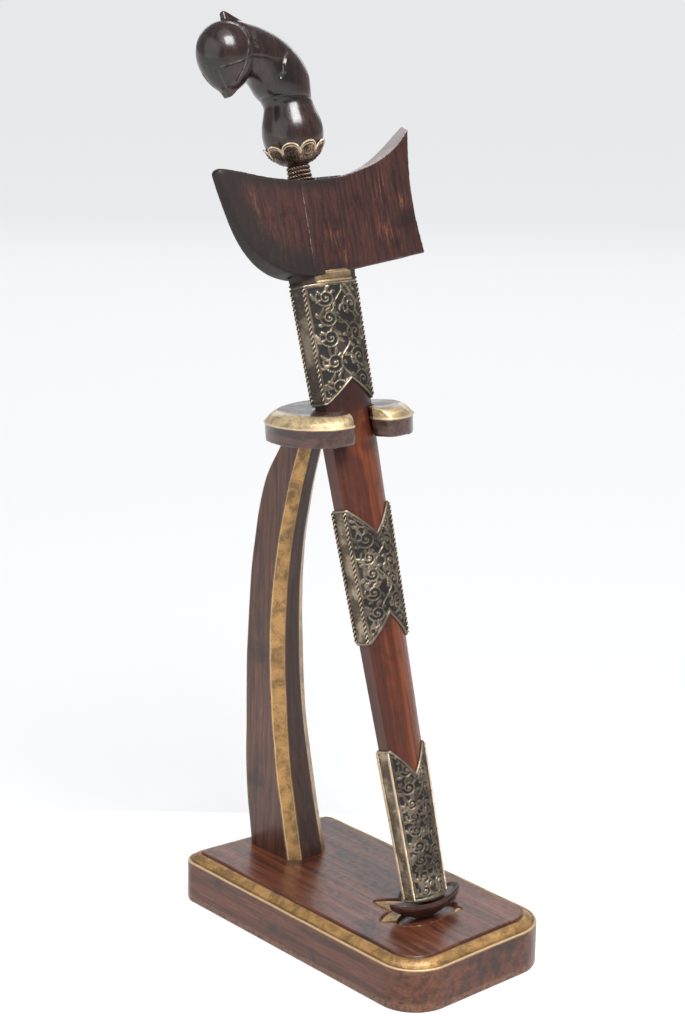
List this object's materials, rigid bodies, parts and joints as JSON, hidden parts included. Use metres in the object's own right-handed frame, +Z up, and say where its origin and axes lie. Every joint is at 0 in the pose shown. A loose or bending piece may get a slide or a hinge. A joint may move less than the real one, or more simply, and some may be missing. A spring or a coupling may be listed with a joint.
{
  "type": "keris dagger on display stand",
  "caption": "Wavy-bladed keris dagger with a bird-headed hilt, in a boat-mouthed sheath with embossed metal sleeves, leaning in the fork of a carved wooden display stand.",
  "frame": {"origin": "middle of the base board's underside", "axes": "+Z up; X across the base, which is also the sheath's width; -Y is the front, where the toe of the sheath stands, and +Y the back, where the post stands"},
  "size_m": [0.1345, 0.1983, 0.5121],
  "materials": {
    "stand_wood": "glossy red-brown varnish with worn old-gold paint on the carved parts",
    "dowel_wood": "bare",
    "screw_steel": "plain",
    "sheath_wood": "polished dark mottled wood",
    "stem_wood": "polished orange-brown wood with dark smudges",
    "toe_wood": "polished dark wood",
    "hilt_wood": "glossy near-black wood",
    "collar_brass": "plain, dull",
    "mount_brass": "antique silvered brass, embossed",
    "wire_brass": "twisted wire, antique",
    "ferrule_brass": "antique filigree",
    "blade_steel": "etched patterned steel",
    "wrap_cloth": "thin cotton wrap"
  },
  "bodies": {
    "stand": {"base_board": "stand_wood", "post": "stand_wood", "post_screws": "screw_steel", "yoke_dowels": "dowel_wood", "yoke": "stand_wood"},
    "scabbard": {"wrangka": "sheath_wood", "stem_front": "stem_wood", "stem_back": "stem_wood", "upper_collar": "collar_brass", "upper_sleeve": "mount_brass", "middle_sleeve": "mount_brass", "lower_sleeve": "mount_brass", "upper_border_wires": "wire_brass", "middle_border_wires": "wire_brass", "lower_border_wires": "wire_brass", "toe": "toe_wood", "toe_peg": "dowel_wood"},
    "blade": {"blade": "blade_steel", "guard": "blade_steel", "tang": "blade_steel", "tang_wrap": "wrap_cloth"},
    "ferrule": {"ferrule_cup": "ferrule_brass", "ferrule_neck": "ferrule_brass", "neck_rings": "wire_brass", "petal_plates": "ferrule_brass", "petal_wires": "wire_brass", "petal_rosettes": "ferrule_brass"},
    "hilt": {"hilt": "hilt_wood"}
  },
  "joints": [
    {"name": "scabbard_lift", "type": "slide", "parent": "stand", "child": "scabbard", "axis": [0, 0.2676, 0.9635], "range_m": [0, 0.2]},
    {"name": "blade_draw", "type": "slide", "parent": "scabbard", "child": "blade", "axis": [0, 0.2676, 0.9635], "range_m": [0, 0.38]},
    {"name": "ferrule_turn", "type": "hinge", "parent": "blade", "child": "ferrule", "pos_m": [-0.004, 0.06128, 0.43709], "axis": [0, 0.2676, 0.9635], "continuous": true},
    {"name": "hilt_turn", "type": "hinge", "parent": "blade", "child": "hilt", "pos_m": [-0.004, 0.06128, 0.43709], "axis": [0, 0.2676, 0.9635], "continuous": true}
  ]
}
